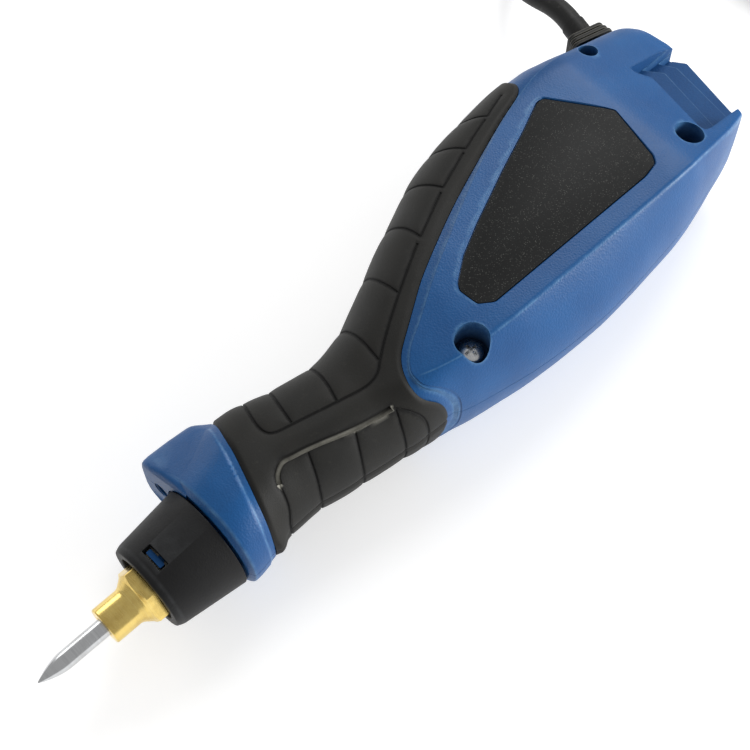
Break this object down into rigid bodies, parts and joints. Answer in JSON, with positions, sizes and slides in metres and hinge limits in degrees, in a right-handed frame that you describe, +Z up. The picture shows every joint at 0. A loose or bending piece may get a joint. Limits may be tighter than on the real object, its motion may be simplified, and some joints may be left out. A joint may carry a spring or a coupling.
{
  "type": "electric engraving pen",
  "caption": "Corded electric engraving pen with a vibrating steel stylus in a brass collet, rubber-gripped moulded housing, work light, stroke dial and rocker switch.",
  "frame": {"origin": "middle of the base of the pen's bounding box, measured without its cord, on the surface that it lies on", "axes": "+X from the stylus tip to the rear end along the nose axis, +Y toward the rubber-covered underside, +Z up, out of the right side panel that carries the rating plate"},
  "size_m": [0.339, 0.103, 0.035],
  "materials": {
    "blue_moulded_plastic": "fine spark texture",
    "black_rubber": "satin",
    "black_moulded_plastic": "satin",
    "printed_plate": "matt, speckled",
    "brass": "machined",
    "bright_steel": "ground",
    "core_iron": "dull",
    "enamelled_copper": "enamelled wire",
    "felt": "dense felt",
    "sintered_bronze": "dull",
    "board": "satin",
    "ivory_plastic": "satin",
    "clear_lamp": "clear, polished",
    "black_cord": "satin"
  },
  "bodies": {
    "housing": {"right_shell": "blue_moulded_plastic", "left_shell": "blue_moulded_plastic", "right_grip": "black_rubber", "left_grip": "black_rubber", "nose_cone": "black_moulded_plastic", "rating_plate": "printed_plate", "plunger_bush": "sintered_bronze", "rear_guide": "sintered_bronze", "dust_seal": "felt", "core": "core_iron", "bobbin": "black_moulded_plastic", "winding": "enamelled_copper", "circuit_board": "board", "terminal_block": "ivory_plastic", "switch_frame": "black_moulded_plastic", "work_light": "clear_lamp", "case_screw_1": "bright_steel", "case_screw_2": "bright_steel", "case_screw_3": "bright_steel", "strain_relief": "black_rubber", "cord_lead": "black_cord", "cord_coil": "black_cord", "cord_tail": "black_cord", "cord_tie": "black_moulded_plastic", "plug_body": "black_rubber", "plug_pin_1": "bright_steel", "plug_pin_2": "bright_steel"},
    "plunger": {"plunger": "bright_steel", "collet": "brass", "armature": "core_iron", "return_spring": "bright_steel"},
    "nut": {"collet_nut": "brass"},
    "stylus": {"stylus": "bright_steel"},
    "dial": {"stroke_dial": "black_moulded_plastic"},
    "stop": {"stop_slide": "bright_steel"},
    "rocker": {"switch_rocker": "black_moulded_plastic"}
  },
  "joints": [
    {"name": "stylus_stroke", "type": "slide", "parent": "housing", "child": "plunger", "axis": [1, 0, 0], "range_m": [0, 0.0018], "stiffness_N_per_m": 1500, "springref_m": -0.0005},
    {"name": "collet_nut_turn", "type": "hinge", "parent": "plunger", "child": "nut", "pos_m": [-0.086, -0.0093, 0.0175], "axis": [1, 0, 0], "range_deg": [0, 180]},
    {"name": "stylus_withdraw", "type": "slide", "parent": "plunger", "child": "stylus", "axis": [-1, 0, 0], "range_m": [0, 0.015]},
    {"name": "stroke_dial_turn", "type": "hinge", "parent": "housing", "child": "dial", "pos_m": [0.02361, -0.00739, 0], "axis": [0, 0, 1], "range_deg": [0, 100.1]},
    {"name": "stop_slide_travel", "type": "slide", "parent": "housing", "child": "stop", "axis": [-1, 0, 0], "range_m": [0, 0.00153]},
    {"name": "switch_rocker_tilt", "type": "hinge", "parent": "housing", "child": "rocker", "pos_m": [0.04454, 0.0067, 0.003], "axis": [0, 1, 0], "range_deg": [0, 18]}
  ],
  "couplings": [
    {"joint": "stroke_dial_turn", "follows": "stop_slide_travel", "rad_per_m": 1139.2}
  ]
}
